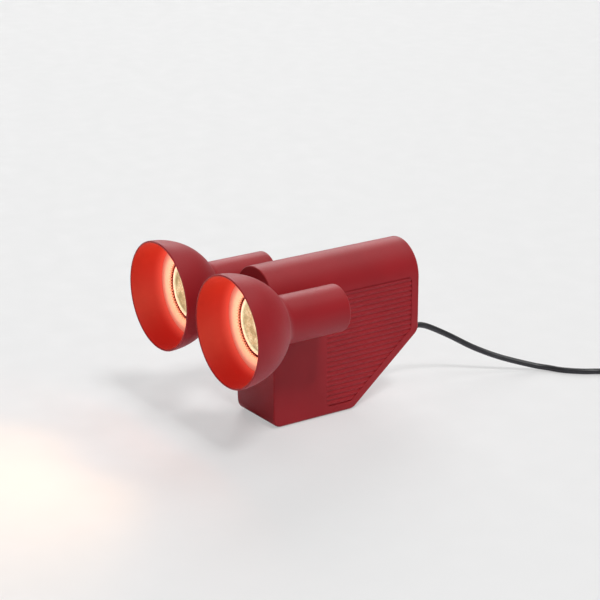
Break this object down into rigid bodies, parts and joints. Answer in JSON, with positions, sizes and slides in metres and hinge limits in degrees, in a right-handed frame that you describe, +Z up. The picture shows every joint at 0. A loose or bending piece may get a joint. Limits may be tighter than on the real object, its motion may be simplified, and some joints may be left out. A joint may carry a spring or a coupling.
{
  "type": "table lamp",
  "caption": "Table lamp with tilting bell-shaped spot heads on the sides of a slim arched body with ribbed side covers and a slanted rear.",
  "frame": {"origin": "middle of the flat underside, at the height of the surface that the lamp stands on", "axes": "+Z up, -Y the way the heads shine at rest, +X towards the right-hand head seen from behind the lamp"},
  "size_m": [0.3466, 0.4321, 0.149],
  "materials": {
    "red_paint": "satin red lacquer",
    "red_cover": "matt red, ribbed",
    "steel": "bright zinc plated",
    "iron": "as cast, blackened",
    "brass": "turned",
    "fibre": "pressed fibre",
    "black_rubber": "matt",
    "black_cord": "satin sheath",
    "white_nylon": "moulded",
    "ceramic": "unglazed",
    "bulb_shell": "frosted, mirrored inside",
    "bulb_lens": "patterned, lit",
    "cream_plastic": "smooth, heat resistant",
    "black_plastic": "fine grained",
    "lead_sleeve": "heat resistant sleeve",
    "tie": "soft band"
  },
  "bodies": {
    "body": {"body_housing": "red_paint", "side_cover_right": "red_cover", "side_cover_left": "red_cover", "base_plate": "steel", "base_pad": "black_rubber", "ballast_weight": "iron", "base_screw_1": "steel", "base_screw_2": "steel", "base_screw_3": "steel", "base_screw_4": "steel", "terminal_block": "white_nylon", "cord_gland": "black_rubber", "inner_cord": "black_cord", "body_lead_right": "lead_sleeve", "body_lead_left": "lead_sleeve", "friction_washer_right": "fibre", "thrust_washer_right": "steel", "spring_washer_right": "steel", "friction_washer_left": "fibre", "thrust_washer_left": "steel", "spring_washer_left": "steel", "cord_run": "black_cord", "cord_link": "black_cord", "cord_coil": "black_cord", "cord_tail": "black_cord", "coil_tie": "tie", "switch_lower": "black_plastic", "switch_upper": "black_plastic", "plug_body": "black_plastic", "plug_pin_1": "steel", "plug_pin_2": "steel"},
    "head_right": {"head_shell_right": "red_paint", "rear_cap_right": "red_paint", "pivot_pipe_right": "brass", "pivot_nut_right": "brass", "bulb_body_right": "bulb_shell", "bulb_lens_right": "bulb_lens", "bulb_ring_right": "cream_plastic", "lamp_holder_right": "ceramic", "holder_strap_right": "steel", "holder_screw_right": "steel", "head_lead_right": "lead_sleeve"},
    "head_left": {"head_shell_left": "red_paint", "rear_cap_left": "red_paint", "pivot_pipe_left": "brass", "pivot_nut_left": "brass", "bulb_body_left": "bulb_shell", "bulb_lens_left": "bulb_lens", "bulb_ring_left": "cream_plastic", "lamp_holder_left": "ceramic", "holder_strap_left": "steel", "holder_screw_left": "steel", "head_lead_left": "lead_sleeve"},
    "rocker": {"switch_rocker": "black_plastic"}
  },
  "joints": [
    {"name": "head_right_tilt", "type": "hinge", "parent": "body", "child": "head_right", "pos_m": [0.0519, -0.01875, 0.1034], "axis": [-1, 0, 0], "range_deg": [-35, 90]},
    {"name": "head_left_tilt", "type": "hinge", "parent": "body", "child": "head_left", "pos_m": [-0.0519, -0.01875, 0.1034], "axis": [-1, 0, 0], "range_deg": [-35, 90]},
    {"name": "switch_rocker_tilt", "type": "hinge", "parent": "body", "child": "rocker", "pos_m": [0.1552, 0.23989, 0.0086], "axis": [-0.6858, -0.7278, 0], "range_deg": [0, 14]}
  ]
}
